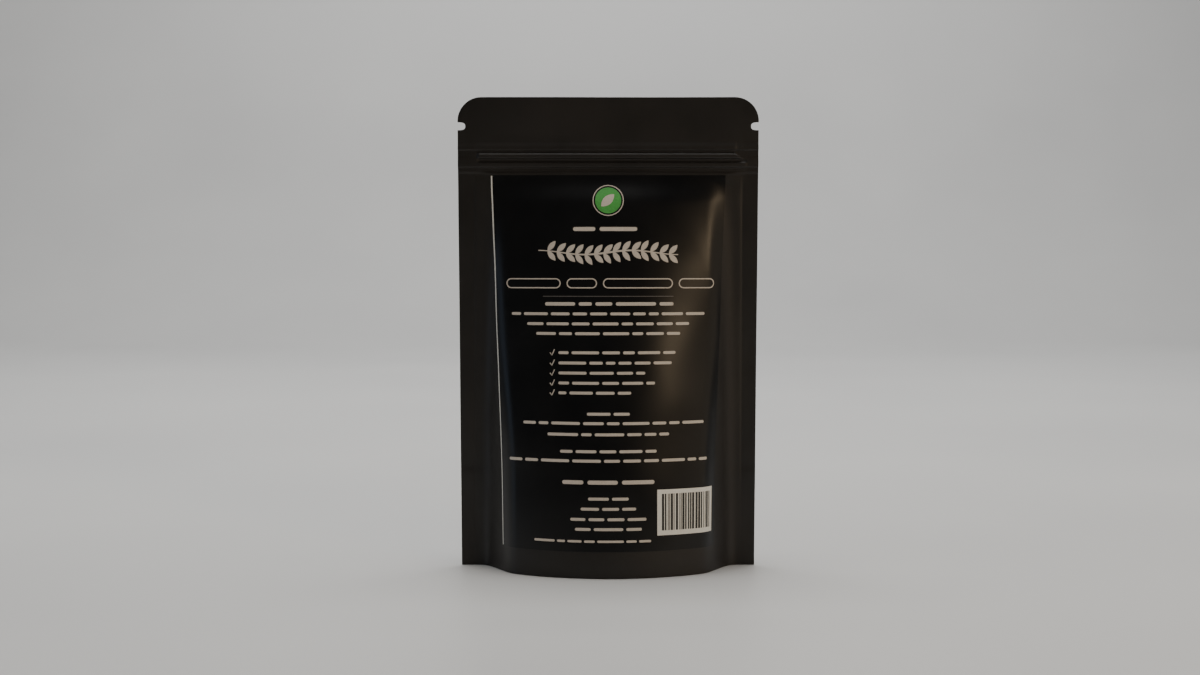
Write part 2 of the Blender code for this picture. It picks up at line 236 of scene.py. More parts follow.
HEADER_WAVE = (0.45 * MM, 105.0 * MM, 0.5)  # (height, length, phase)
HEADER_FOOT = (184.0 * MM, 196.0 * MM)
SIDE_WAVE = (0.30 * MM, 90.0 * MM, 1.3)
SIDE_REACH = (54.0 * MM, 62.0 * MM)
SIDE_FOOT = (8.0 * MM, 33.0 * MM)
SIDE_TOP = (164.0 * MM, 144.0 * MM)


def foot_seal_line(x):
    """Height of the curved seal that joins the gusset to the film: low in the middle, rising
    towards the side seals with the fourth power of x."""
    return SKIRT + FOOT_SEAL_RISE * (np.abs(x) / SEAL_EDGE) ** 4


def unevenness(x, z):
    """The sum of a few plane cosine waves, faded out where the film is sealed and at the foot."""
    waves = sum(h * np.cos(2 * math.pi * (u * x + v * z) + p) for u, v, p, h in WAVES)
    return waves * smooth(bulge(x, z) / SEAM_BLEND) * smooth(z / WAVES_FOOT)


def toe(x, z):
    """The film leaves the side seal at an angle: slope times the way in, dying out as a falling
    exponential where the bulge takes over. None at the foot and at the zip."""
    way_in = np.maximum(SEAL_EDGE - np.abs(x), 0.0)
    rise = TOE_SLOPE * way_in * np.exp(-way_in / TOE_REACH) * ease(way_in, *TOE_START)
    return rise * ease(z, *TOE_FOOT) * ease(z, *TOE_TOP)


def film_depth(x, z):
    """Distance of the film's middle from y = 0: the layers under it, the seal steps, and the
    bulge and the zip's relief joined as the root of the sum of their squares."""
    filled = smooth(bulge(x, z) / SEAM_BLEND)
    over_gusset = smooth((GUSSET_LEG + GUSSET_STEP - z) / GUSSET_STEP)
    sealed = TWO_LAYERS + over_gusset * (FOUR_LAYERS - TWO_LAYERS)
    open_side = smooth((SEAL_EDGE - np.abs(x)) / SIDE_SEAL_RUN) * ease(z, *SEAL_STEP_TOP)
    above_foot = smooth((z - foot_seal_line(x)) / FOOT_SEAL_RUN)
    steps = SEAL_STEP * open_side * (1.0 + above_foot)
    layers = sealed + filled * (BODY_LAYERS - sealed) + steps * (1.0 - filled)
    return layers + toe(x, z) + np.hypot(bulge(x, z), zip_relief(x, z)) + unevenness(x, z)


def bend(x, z):
    """How far all layers together lie off the plane y = 0: a slow sine over the header and one
    up each side seal. It is zero at the zip and at the foot."""
    height, length, phase = HEADER_WAVE
    header = height * np.sin(2 * math.pi * x / length + phase) * ease(z, *HEADER_FOOT)
    height, length, phase = SIDE_WAVE
    side = height * np.sin(2 * math.pi * z / length + phase * (x > 0))
    fade = ease(np.abs(x), *SIDE_REACH) * ease(z, *SIDE_FOOT) * ease(z, *SIDE_TOP)
    return header + side * fade


def front_y(x, z):
    """The front film's middle surface as y over x and z."""
    return bend(x, z) - film_depth(x, z)


print("front film at mid height:", round(float(front_y(0.0, 0.1)) / MM, 2), "mm from the plane")

# %% [markdown]
# ## From points to a piece
# Each piece starts as a grid of points, or as many small grids of one size. `add_sheet` gives it a
# wall: every point moves half the thickness out along the surface's normal and half in, and a rim
# closes the edge. The film then has two faces and a cut edge, as real film does.

# %% Mesh helpers
SHARP_ANGLE = math.radians(45.0)


def normals_of(points, wrap):
    """Unit normals of grids (grid, row, column, xyz): the step along a row crossed with the step
    up a column."""
    across = np.gradient(points, axis=-2)
    up = np.gradient(points, axis=-3)
    if wrap:
        up = np.roll(points, -1, axis=-3) - np.roll(points, 1, axis=-3)
    normal = np.cross(across, up)
    return normal / np.linalg.norm(normal, axis=-1, keepdims=True)


def quads_of(index):
    """The corner numbers of every cell of the grids."""
    corners = [index[:, :-1, :-1], index[:, :-1, 1:], index[:, 1:, 1:], index[:, 1:, :-1]]
    return np.stack(corners, axis=-1).reshape(-1, 4)


def rims_of(outer, inner, wrap):
    """Quads between the borders of the outer and the inner grids."""
    def borders(g):
        if wrap:
            return [g[:, :, -1], g[:, ::-1, 0]]
        ring = [g[:, 0, :-1], g[:, :-1, -1], g[:, -1, :0:-1], g[:, :0:-1, 0], g[:, 0, :1]]
        return [np.concatenate(ring, axis=1)]
    quads = []
    for o, i in zip(borders(outer), borders(inner)):
        corners = [i[:, :-1], i[:, 1:], o[:, 1:], o[:, :-1]]
        quads.append(np.stack(corners, axis=-1).reshape(-1, 4))
    return np.concatenate(quads)


def add_sheet(name, points, wall, material, wrap=False, marks=None):
    """A closed sheet of that wall thickness, centred on the points. wrap joins each grid's last
    row to its first. marks are named values per point that the material can read."""
    points = points if points.ndim == 4 else points[None]
    half = normals_of(points, wrap) * wall / 2
    both = np.stack([points + half, points - half])
    index = np.arange(both[..., 0].size).reshape(both.shape[:-1])
    if wrap:
        index = np.concatenate([index, index[:, :, :1]], axis=2)
    outer, inner = index
    walls = [quads_of(outer), quads_of(inner)[:, ::-1]]
    faces = np.concatenate([*walls, rims_of(outer, inner, wrap)])
    mesh = bpy.data.meshes.new(name)
    mesh.from_pydata(both.reshape(-1, 3).tolist(), [], faces.tolist())
    for mark, values in (marks or {}).items():
        layer = mesh.attributes.new(mark, "FLOAT", "POINT")
        layer.data.foreach_set("value", np.tile(values.reshape(-1), 2).astype(np.float32))
    mesh.shade_smooth()
    mesh.set_sharp_from_angle(angle=SHARP_ANGLE)
    mesh.materials.append(material)
    piece = bpy.data.objects.new(name, mesh)
    bpy.context.scene.collection.objects.link(piece)
    print(f"{name}: {len(mesh.polygons)} faces")
    return piece


print("edges sharper than", round(math.degrees(SHARP_ANGLE)), "degrees stay crisp")

# %% [markdown]
# ## Helpers for materials
# A material is a small graph: textures read the object's own coordinates in metres, so a scale of
# 1000 gives features about a millimetre apart, and a ramp or range turns them into colour,
# roughness or bump.

# %% Material helpers


def new_material(name):
    """A new material's node tree, its Principled shader and the object coordinates."""
    material = bpy.data.materials.new(name)
    material.use_nodes = True
    tree = material.node_tree
    place = tree.nodes.new("ShaderNodeTexCoord").outputs["Object"]
    return material, tree, tree.nodes["Principled BSDF"], place


def add_node(tree, kind, inputs, **settings):
    """A node with its settings and its inputs: a number or colour is set, a socket is linked."""
    made = tree.nodes.new(kind)
    for name, value in settings.items():
        setattr(made, name, value)
    for name, value in inputs.items():
        if isinstance(value, bpy.types.NodeSocket):
            tree.links.new(value, made.inputs[name])
        else:
            made.inputs[name].default_value = value
    return made


def noise(tree, place, scale, detail=3.0):
    """Cloudy noise between 0 and 1 with that many features per metre."""
    values = {"Vector": place, "Scale": scale, "Detail": detail}
    return add_node(tree, "ShaderNodeTexNoise", values).outputs["Fac"]


def stretched(tree, place, scale):
    """The coordinates multiplied by scale, which draws a texture out along an axis."""
    return add_node(tree, "ShaderNodeMapping", {"Vector": place, "Scale": scale}).outputs["Vector"]


def ranged(tree, value, source, target):
    """The value moved from one range to another, and held at its ends."""
    values = {"Value": value, "From Min": source[0], "From Max": source[1],
              "To Min": target[0], "To Max": target[1]}
    return add_node(tree, "ShaderNodeMapRange", values).outputs["Result"]


def ramp(tree, value, first, last, ends=(0.3, 0.7)):
    """A colour between first and last as the value goes between the ends."""
    made = add_node(tree, "ShaderNodeValToRGB", {"Fac": value})
    for stop, place, colour in zip(made.color_ramp.elements, ends, (first, last)):
        stop.position = place
        stop.color = (*colour, 1.0)
    return made.outputs["Color"]


def add(tree, a, b, operation="ADD"):
    """Two values joined by one arithmetic step."""
    return add_node(tree, "ShaderNodeMath", {0: a, 1: b}, operation=operation).outputs["Value"]


def bump(tree, shader, height, strength, distance):
    """Lets the height tilt the shader's normal, as if it stood out by distance."""
    values = {"Height": height, "Strength": strength, "Distance": distance}
    tree.links.new(add_node(tree, "ShaderNodeBump", values).outputs["Normal"],
                   shader.inputs["Normal"])


def feed(tree, shader, **sources):
    """Links sockets to, or sets numbers on, the shader's inputs. Underscores stand for spaces."""
    for name, value in sources.items():
        socket = shader.inputs[name.replace("_", " ")]
        if isinstance(value, bpy.types.NodeSocket):
            tree.links.new(value, socket)
        else:
            socket.default_value = value


print("a noise of scale 1000 has features about", round(1 / 1000 / MM), "mm apart")

# %% [markdown]
# ## Matte film
# The film is a black laminate with a matte lacquer. It isn't neutral: in the photograph its black
# is warm. The lacquer has a very fine grain, its sheen varies in soft clouds where hands and the
# filling have rubbed it, and the heat of the seals has pressed it a little smoother.

# %% Film material


def film_material():
    """Warm black with clouds in sheen and colour, a fine grain, and smoother seals."""
    material, tree, shader, place = new_material("matte_film")
    clouds = noise(tree, place, 38.0)
    rubbed = noise(tree, stretched(tree, place, (1.0, 1.0, 0.35)), 160.0, 5.0)
    grain = noise(tree, place, 3200.0, 2.0)
    seal = add_node(tree, "ShaderNodeAttribute", {}, attribute_name="seal").outputs["Fac"]
    black = ramp(tree, clouds, (0.0130, 0.0110, 0.0090), (0.0180, 0.0152, 0.0124))
    sheen = add(tree, ranged(tree, clouds, (0.3, 0.7), (0.43, 0.50)),
                ranged(tree, rubbed, (0.4, 0.7), (-0.02, 0.03)))
    pressed = ranged(tree, seal, (0.0, 1.0), (0.0, -0.05))
    feed(tree, shader, Base_Color=black, Roughness=add(tree, sheen, pressed),
         Specular_IOR_Level=0.38)
    relief = add(tree, grain, add(tree, rubbed, 0.6, "MULTIPLY"))
    bump(tree, shader, relief, 0.22, 0.00004)
    return material


film_black = film_material()
print("material", film_black.name)

# %% [markdown]
# ## The two panels
# Front and back are cut alike, so one function lays out the grid. Its columns crowd together on
# the flanks and where a seal begins, its rows on the zip, the notches and the corners. The notch
# moves only the outer columns inwards. The back turns the grid round by changing the signs of
# both x and y, so its normals look outwards too.

# %% Panels


def spaced(*stops):
    """Numbers from stop to stop; after each stop comes the step to use up to the next one."""
    values = [stops[0]]
    for start, step, end in zip(stops[::2], stops[1::2], stops[2::2]):
        count = max(round((end - start) / step), 1)
        values.extend(np.linspace(start, end, count + 1)[1:])
    return np.array(values) * MM


COLUMNS = spaced(0.0, 1.6, 35.2, 0.9, 53.2, 0.36, 61.0, 0.9, 65.0) / HALF_WIDTH
COLUMNS = np.concatenate([-COLUMNS[:0:-1], COLUMNS])
NOTCH_TURNS = np.sin(np.linspace(-1.0, 1.0, 19) * math.pi / 2) * NOTCH_HEIGHT / 2
CORNER_TURNS = 1.0 - np.sin(np.linspace(0.0, 1.0, 22) * math.pi / 2)
ROWS = np.concatenate([
    spaced(0.0, 1.0, 10.0, 1.5, 40.0, 0.8, 44.0, 1.9, 153.0, 1.2, 166.0, 0.13, 185.0, 0.9, 187.5),
    NOTCH_PLACE + NOTCH_TURNS,
    HEIGHT - CORNER_RADIUS * CORNER_TURNS,
])
NOTCH_FROM = 0.86  # the share of the half width past which the columns give way to the notch


def panel_grid():
    """x and z of a panel's points: shares of the half width across, cut in by the notch."""
    share, z = np.meshgrid(COLUMNS, ROWS)
    cut = np.clip((np.abs(share) - NOTCH_FROM) / (1.0 - NOTCH_FROM), 0.0, 1.0)
    return share * half_width(z) - np.sign(share) * notch(z) * cut, z


def foot_seal(x, z):
    """1 below the curved seal's line and 0 above it."""
    return smooth((foot_seal_line(x) - z) / FOOT_SEAL_RUN)


def seal_mark(x, z):
    """1 where the film is fused to the next layer, 0 where it is free."""
    side = smooth((np.abs(x) - SEAL_EDGE) / SIDE_SEAL_RUN)
    return {"seal": np.maximum(side, foot_seal(x, z))}


x, z = panel_grid()
front_points = np.stack([x, front_y(x, z), z], axis=-1)
front_film = add_sheet("front_film", front_points, FILM, film_black, marks=seal_mark(x, z))
back_points = np.stack([-x, bend(-x, z) + film_depth(x, z), z], axis=-1)
back_film = add_sheet("back_film", back_points, FILM, film_black, marks=seal_mark(x, z))
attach(front_film, "root")
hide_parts("front_panel")
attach(back_film, "root")
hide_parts("back_panel")

# %% [markdown]
# ## The gusset
# The third sheet is folded upwards like a W without its outer strokes, and sealed to both panels
# along their lower edge. When the pouch is filled, the fold opens and the panels' edges move
# apart until the pouch stands on them. Between its edges the film hangs in an arch: a quarter
# ellipse from each side, high where the panels are close and low where they stand apart.

# %% Gusset
GUSSET_PULL = 1.074  # how fast the arch sinks as it widens
FOLD_SPREAD = 1.0 * MM
SKIRT_INSET = FILM + SKIN_GAP
LEAST_RISE = 8.0 * MM


def gusset_points(columns):
    """Points (row, column, xyz) of the gusset's middle surface. Down the columns it runs from the
    front skirt's foot, up a quarter ellipse, over the fold and down at the back. The ellipse's
    height is what the leg has left, by a smooth maximum that keeps it from falling to zero."""
    x = columns * half_width(0.0)
    step = 0.01 * MM
    depth = film_depth(x, 0.0 * x)
    slope = (film_depth(x + step, 0.0 * x) - film_depth(x - step, 0.0 * x)) / (2 * step)
    length = np.hypot(slope, 1.0)
    x = x + SKIRT_INSET * slope / length
    reach = depth - SKIRT_INSET / length
    spread = np.maximum(reach - TWO_LAYERS, 0.0)
    left = (GUSSET_LEG - SKIRT) ** 2 - GUSSET_PULL * spread**2
    rise = np.sqrt((left + np.hypot(left, LEAST_RISE**2)) / 2)
    fold = TWO_LAYERS / (1.0 + (spread / FOLD_SPREAD) ** 2)
    up = np.linspace(0.0, 1.0, 5)[:-1, None]
    turn = np.linspace(0.0, math.pi / 2, 33)[:, None]
    over = np.linspace(0.0, math.pi / 2, 5)[1:, None]
    y = np.concatenate([reach + 0.0 * up, TWO_LAYERS + spread * np.cos(turn),
                        TWO_LAYERS * np.cos(over) + 0.0 * x])
    z = np.concatenate([SKIRT * up + 0.0 * x, SKIRT + (rise - fold) * np.sin(turn),
                        SKIRT + rise - fold + fold * np.sin(over)])
    y = np.concatenate([-y, y[-2::-1]])
    z = np.concatenate([z, z[-2::-1]])
    x = np.broadcast_to(x, z.shape)
    return np.stack([x, y + bend(x, z), z], axis=-1)


points = gusset_points(COLUMNS)
gusset_seal = {"seal": foot_seal(points[..., 0], points[..., 2])}
gusset_film = add_sheet("gusset_film", points, FILM, film_black, marks=gusset_seal)
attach(gusset_film, "root")
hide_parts("bottom_gusset")

# %% [markdown]
# ## The label's own plane
# The label was printed flat and then laid round the bulge, so its width counts along the film and
# not across it. `on_label` does the same: it takes a flat place (s, z), s being the way along the
# film from the middle, and finds the x whose run along the film is s. The runs are added up once
# in a table. The same function places every printed mark.

# %% Mapping onto the label
LABEL_HALF = 50.6 * MM
LABEL_SPAN = (11.2 * MM, 169.2 * MM)
PAPER = 0.10 * MM
GLUE = 0.005 * MM
PAPER_LIFT = FILM / 2 + GLUE + PAPER / 2
INK = 0.02 * MM
INK_LIFT = PAPER_LIFT + PAPER / 2 + INK
OVERPRINT_LIFT = INK_LIFT + 1.5 * INK

TABLE_Z = np.linspace(LABEL_SPAN[0] - MM, LABEL_SPAN[1] + MM, 200)
TABLE_X = np.linspace(0.0, FLANK_END, 700)
TABLE_S = np.linspace(0.0, LABEL_HALF + MM, 400)


def x_table():
    """For each height of the table, the x at which the run along the film reaches each s."""
    x, z = np.meshgrid(TABLE_X, TABLE_Z)
    depth = film_depth(x, z)
    run = np.cumsum(np.hypot(np.diff(x, axis=1), np.diff(depth, axis=1)), axis=1)
    run = np.concatenate([np.zeros((len(TABLE_Z), 1)), run], axis=1)
    return np.array([np.interp(TABLE_S, line, TABLE_X) for line in run])


X_OF_S = x_table()


def label_x(s, z):
    """x for a place on the label, read from the table between its four nearest entries."""
    row = np.clip((z - TABLE_Z[0]) / (TABLE_Z[1] - TABLE_Z[0]), 0.0, len(TABLE_Z) - 1.001)
    column = np.clip(np.abs(s) / TABLE_S[1], 0.0, len(TABLE_S) - 1.001)
    i, j = row.astype(int), column.astype(int)
    u, v = row - i, column - j
    low = (1.0 - v) * X_OF_S[i, j] + v * X_OF_S[i, j + 1]
    high = (1.0 - v) * X_OF_S[i + 1, j] + v * X_OF_S[i + 1, j + 1]
    return np.sign(s) * ((1.0 - u) * low + u * high)


def on_label(s, z, lift):
    """The point over the film at (s, z), raised by lift along the film's normal (slope of y
    along x, -1, slope of y along z)."""
    x = label_x(s, z)
    step = 0.02 * MM
    slope_x = (front_y(x + step, z) - front_y(x - step, z)) / (2 * step)
    slope_z = (front_y(x, z + step) - front_y(x, z - step)) / (2 * step)
    normal = np.stack([slope_x, -np.ones_like(x), slope_z], axis=-1)
    normal /= np.linalg.norm(normal, axis=-1, keepdims=True)
    return np.stack([x, front_y(x, z), z], axis=-1) + lift * normal


label_ends = label_x(np.full(2, LABEL_HALF), np.array(LABEL_SPAN))
print("half the label's width seen from the front, at its foot and top, mm:",
      np.round(label_ends / MM, 1).tolist())

# %% [markdown]
# ## The label
# It is a thin paper label with a satin black print. It reflects more sharply than the film, which
# is why the lamp shows on it as a clear warm streak. Its face has the faint orange peel of
# varnish over paper.

# %% Label


def label_material():
    """Near black, satin, with varnish clouds in its roughness and a faint orange peel."""
    material, tree, shader, place = new_material("label_print_black")
    clouds = noise(tree, place, 55.0)
    peel = noise(tree, place, 900.0, 2.0)
    black = ramp(tree, clouds, (0.0022, 0.0022, 0.0024), (0.0040, 0.0038, 0.0038))
    feed(tree, shader, Base_Color=black, Roughness=ranged(tree, clouds, (0.3, 0.7), (0.28, 0.33)),
         Specular_IOR_Level=0.32)
    bump(tree, shader, peel, 0.12, 0.00004)
    return material


label_rows = spaced(LABEL_SPAN[0] / MM, 1.4, 158.2, 0.5, LABEL_SPAN[1] / MM)
s, z = np.meshgrid(np.linspace(-LABEL_HALF, LABEL_HALF, 113), label_rows)
label = add_sheet("label_sheet", on_label(s, z, PAPER_LIFT), PAPER, label_material())
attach(label, "root")
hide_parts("label")

# %% [markdown]
# ## Printed marks
# The print is made of plain marks: rounded bars set in lines, as in the rough layout of a page, a
# sprig of leaves as a headline, a row of outlines and a leaf in a round badge. A texture could
# hold them, but thin layers of ink keep a crisp edge from near by. Each mark is a ribbon in the
# label's plane, a path with a half width at each of its points, and `on_label` lays it on the
# film.

# %% Ribbons in the label's plane
rng = np.random.default_rng(11)
ACROSS = np.array([1.0, 0.0, -1.0])
BLUNT = 0.07  # the share of a bar's half width that is left at its very end
WORD_RUN, WORD_GAP, WORD_HALF = 2.9, 0.42, 0.20  # in line sizes
LEAF_FULLNESS, LEAF_TIP = 0.8, 0.03


def ribbons(path, half, closed=False, across=ACROSS):
    """Flat grids (ribbon, point, side, 2) beside paths (ribbon, point, 2): each path point moved
    along the path's left-hand normal by half times -1, 0 and 1."""
    along = np.gradient(path, axis=1)
    if closed:
        along = np.roll(path, -1, axis=1) - np.roll(path, 1, axis=1)
    along /= np.linalg.norm(along, axis=-1, keepdims=True)
    left = np.stack([-along[..., 1], along[..., 0]], axis=-1)
    return path[:, :, None] + left[:, :, None] * (half[:, :, None] * across)[..., None]


def bars(boxes):
    """Filled bars with round ends from (start, end, middle height, half height) in mm: the half
    width follows a circle over the first and last half height, down to the blunt share, and is
    even in between."""
    boxes = np.array(boxes) * MM
    start, end, level, radius = boxes[:, 0:1], boxes[:, 1:2], boxes[:, 2:3], boxes[:, 3:4]
    radius = np.minimum(radius, (end - start) / 2)
    cap = np.array([0.0, 0.12, 0.35, 0.65, 1.0])
    inner = np.linspace(0.0, 1.0, 8)[1:-1]
    straight = start + radius + (end - start - 2 * radius) * inner
    run = np.concatenate([start + radius * cap, straight, end - radius * cap[::-1]], axis=1)
    circle = np.sqrt(1.0 - (1.0 - cap) ** 2) * (1.0 - BLUNT) + BLUNT
    shape = np.concatenate([circle, np.ones_like(inner), circle[::-1]])
    path = np.stack([run, np.broadcast_to(level, run.shape)], axis=-1)
    return ribbons(path, boxes[:, 3:4] * shape)


def words(start, end, level, size, wide=1.0):
    """Boxes for one line of bars between start and end, in mm: seeded widths, scaled so that
    they and the gaps between them fill the line."""
    length = end - start
    count = max(int(round(length / (size * WORD_RUN * wide))), 1)
    gap = WORD_GAP * size
    widths = rng.uniform(0.45, 1.55, count)
    widths *= (length - gap * (count - 1)) / widths.sum()
    starts = start + np.concatenate([[0.0], np.cumsum(widths + gap)[:-1]])
    return [(a, a + w, level, size * WORD_HALF) for a, w in zip(starts, widths)]


def pills(boxes, half):
    """Outlines of rounded bars from (start, end, middle height, radius) in mm: a closed path of
    two half circles and two straights round each, as wide as twice half."""
    paths = []
    turn = np.linspace(-math.pi / 2, math.pi / 2, 13)
    for start, end, level, radius in boxes:
        out, up = radius * np.cos(turn), radius * np.sin(turn)
        right = np.stack([end - radius + out, level + up], axis=-1)
        left = np.stack([start + radius - out, level - up], axis=-1)
        top = np.linspace(right[-1], left[0], 14)[1:-1]
        bottom = np.linspace(left[-1], right[0], 14)[1:-1]
        paths.append(np.concatenate([right, top, left, bottom]))
    path = np.array(paths) * MM
    return ribbons(path, np.full(path.shape[:2], half * MM), closed=True)


def leaves(bases, angles, length, width):
    """Almond leaves from their bases in mm: half width = width times sine of the way along, to
    the power of the fullness, over an axis of that length turned by each angle."""
    t = np.linspace(0.0, 1.0, 13)
    axis = np.stack([np.cos(angles), np.sin(angles)], axis=-1)
    path = (np.array(bases)[:, None] + axis[:, None] * (t * length)[None, :, None]) * MM
    half = np.maximum(width * np.sin(math.pi * t) ** LEAF_FULLNESS, LEAF_TIP) * MM
    return ribbons(path, np.broadcast_to(half, path.shape[:2]))


def printed(name, flat, lift, material, wrap=False):
    """Lays flat grids of marks on the label as a thin layer of ink. Their heights count from the
    label's lower edge."""
    points = on_label(flat[..., 0], flat[..., 1] + LABEL_SPAN[0], lift)
    piece = add_sheet(name, points, INK, material, wrap)
    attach(piece, "root")


print("ink lies", round(INK_LIFT / MM, 3), "mm over the film's middle")

# %% [markdown]
# ## Inks
# Printed colour is never quite even: the screen and the paper under it leave a fine mottle. The
# cream and the white differ in warmth, as they do in the photograph.

# %% Ink materials


def ink_material(name, light, dark, roughness):
    """A printed colour with a fine mottle and a slightly uneven varnish."""
    material, tree, shader, place = new_material(name)
    mottle = noise(tree, place, 1500.0, 4.0)
    varnish = noise(tree, place, 120.0)
    feed(tree, shader, Base_Color=ramp(tree, mottle, dark, light),
         Roughness=ranged(tree, varnish, (0.3, 0.7), (roughness - 0.04, roughness + 0.05)))
    bump(tree, shader, mottle, 0.06, 0.00002)
    return material


cream = ink_material("ink_cream", (0.68, 0.61, 0.52), (0.60, 0.53, 0.45), 0.42)
white = ink_material("ink_white", (0.90, 0.88, 0.80), (0.83, 0.80, 0.72), 0.40)
green = ink_material("ink_green", (0.090, 0.44, 0.085), (0.065, 0.34, 0.065), 0.38)
grey = ink_material("ink_grey", (0.16, 0.15, 0.14), (0.11, 0.10, 0.095), 0.45)
dark = ink_material("ink_black", (0.018, 0.017, 0.016), (0.010, 0.010, 0.010), 0.45)

print("inks:", [ink.name for ink in (cream, white, green, grey, dark)])

# %% [markdown]
# ### Lines
# From afar a paragraph is a rhythm: what counts is each line's length, its height, and how long
# and short bars follow each other. So a table holds the lines, and seeded widths fill them.

# %% Marks: lines
TICKED = ((28.9, 82.4), (27.2, 78.1), (15.6, 73.9), (19.8, 69.7), (9.6, 65.6))  # (end, level)
LINES = (  # (start, end, level, size) and, where it isn't 1, the bars' width, in mm
    (-15.0, 12.4, 134.7, 4.3, 1.3),
    (-27.0, 28.0, 102.9, 3.6),
    (-42, 42, 98.7, 3.0), (-35, 35, 94.5, 3.0), (-31, 31, 90.4, 3.0),
    *((-21.2, end, level, 3.0) for end, level in TICKED),
    (-9, 9, 56.9, 3.0), (-37, 42, 53.0, 3.0), (-26, 26, 48.4, 3.0),
    (-20.5, 20.5, 41.4, 3.0), (-44, 44, 37.5, 3.0),
    (-8.5, 8.5, 21.9, 3.0), (-11.6, 11.6, 17.7, 3.0), (-16, 16, 13.4, 3.0), (-14, 14, 9.3, 3.0),
    (-19.5, 19.5, 28.7, 4.1, 1.2),
    (-32.0, 18.0, 4.3, 2.4),
)
word_boxes = [box for line in LINES for box in words(*line)]
printed("marks_words", bars(word_boxes), INK_LIFT, cream)
print(len(LINES), "lines with", len(word_boxes), "bars")

# %% [markdown]
# ### Headline
# The headline is a sprig: a thin stem along a sine, with leaves in pairs that lean to and fro.
# The leaves lie on the stem as a second layer of ink, a hair higher, so that no two faces share
# a place.

# %% Marks: headline sprig
HEADLINE = 124.7
SPRIG_HALF = 30.0
SPRIG_SWAY = 0.9
STEM_HALF, STEM_TAPER = 0.42, 0.24
LEAF_PAIRS = 14
LEAF_REACH = 26.0
LEAF_TURN = 0.85
LEAF_LENGTH, LEAF_HALF = 5.4, 1.15


def sprig_height(s):
    """Height of the stem at s, in mm: three quarters of a sine on each side of the middle."""
    return HEADLINE + SPRIG_SWAY * np.sin(s / SPRIG_HALF * math.pi * 1.5)


stem_s = np.linspace(-SPRIG_HALF, SPRIG_HALF, 61)
stem = np.stack([stem_s, sprig_height(stem_s)], axis=-1)[None] * MM
stem_half = (STEM_HALF - STEM_TAPER * np.abs(stem_s / SPRIG_HALF)) * MM
printed("marks_stem", ribbons(stem, stem_half[None]), INK_LIFT, cream)

leaf_s = np.linspace(-LEAF_REACH, LEAF_REACH, LEAF_PAIRS)
bases = np.tile(np.stack([leaf_s, sprig_height(leaf_s)], axis=-1), (2, 1))
lean = LEAF_TURN * np.where(np.arange(LEAF_PAIRS) % 2, 1.0, -1.0)
turns = np.concatenate([lean, -lean]) + rng.uniform(-0.12, 0.12, 2 * LEAF_PAIRS)
printed("marks_leaves", leaves(bases, turns, LEAF_LENGTH, LEAF_HALF), OVERPRINT_LIFT, cream)

# %% [markdown]
# ### Outlines and ticks
# An outline is a closed ribbon, whose last points join its first. A tick is a short open one, with
# five points along its bent stroke. One of each is worked out, and then set at every place.

# %% Marks: outlines and ticks
PILLS = ((-44.0, -20.5), (-17.5, -5.0), (-2.0, 27.5), (30.5, 46.0))  # (start, end)
PILL_LEVEL, PILL_RADIUS, PILL_LINE = 111.6, 1.9, 0.24
TICK = ((-24.9, 0.0), (-24.5, -0.5), (-24.1, -1.1), (-23.5, 0.1), (-22.9, 1.4))
TICK_HALF = 0.20 * MM

pill_boxes = [(start, end, PILL_LEVEL, PILL_RADIUS) for start, end in PILLS]
printed("marks_pills", pills(pill_boxes, PILL_LINE), INK_LIFT, cream, wrap=True)
ticks = np.stack([np.array(TICK) + (0.0, level) for _, level in TICKED]) * MM
printed("marks_ticks", ribbons(ticks, np.full(ticks.shape[:2], TICK_HALF)), INK_LIFT, cream)

# %% [markdown]
# ### Rule and badge
# A disc is a ribbon too: a straight path whose half width is the sine of the way round. The ring
# round it is an outline as long as it is high, so its two half circles meet.

# %% Marks: rule and badge
RULE_LEVEL = 106.1
RULE_REACH = 28.0
RULE_HALF = 0.14 * MM
BADGE_LEVEL = 147.0
DISC_RADIUS = 5.6
RING_RADIUS, RING_LINE = 6.5, 0.20
BADGE_LEAF_FOOT = (-3.0, BADGE_LEVEL - 2.6)
BADGE_LEAF_TURN = 0.75
BADGE_LEAF_SIZE = (7.6, 1.9)  # (length, half width)

rule_s = np.linspace(-RULE_REACH, RULE_REACH, 57)
rule = np.stack([rule_s, np.full(57, RULE_LEVEL)], axis=-1)[None] * MM
printed("marks_rule", ribbons(rule, np.full((1, 57), RULE_HALF)), INK_LIFT, grey)

turn = np.linspace(0.0, math.pi, 41)
disc = np.stack([-DISC_RADIUS * np.cos(turn), np.full(41, BADGE_LEVEL)], axis=-1)[None] * MM
disc_half = np.maximum(DISC_RADIUS * np.sin(turn), 0.05)[None] * MM
disc_flat = ribbons(disc, disc_half, across=np.linspace(1.0, -1.0, 15))
printed("badge_disc", disc_flat, INK_LIFT, green)
ring = pills([(-RING_RADIUS, RING_RADIUS, BADGE_LEVEL, RING_RADIUS - 0.001)], RING_LINE)
printed("badge_ring", ring, INK_LIFT, cream, wrap=True)
badge_leaf = leaves([BADGE_LEAF_FOOT], np.array([BADGE_LEAF_TURN]), *BADGE_LEAF_SIZE)
printed("badge_leaf", badge_leaf, OVERPRINT_LIFT, cream)

# %% [markdown]
# ### White edge and white field
# The print ends in a narrow white line at the left, and a white field with bars stands low at the
# right. The field is wide, so its ribbon has many points across as well, or it would cut into the
# curved film.

# %% Marks: white edge, white field with bars
EDGE_S = -50.25
EDGE_HALF = 0.30 * MM
FIELD_SPAN = (20.7, 48.0)
FIELD_LEVEL = 15.9
FIELD_HALF = 9.5 * MM
BARS_SPAN = (22.4, 46.4)
BARS_HEIGHT = (8.4, 23.6)
BAR = 0.33
BARS_TRIED = 34

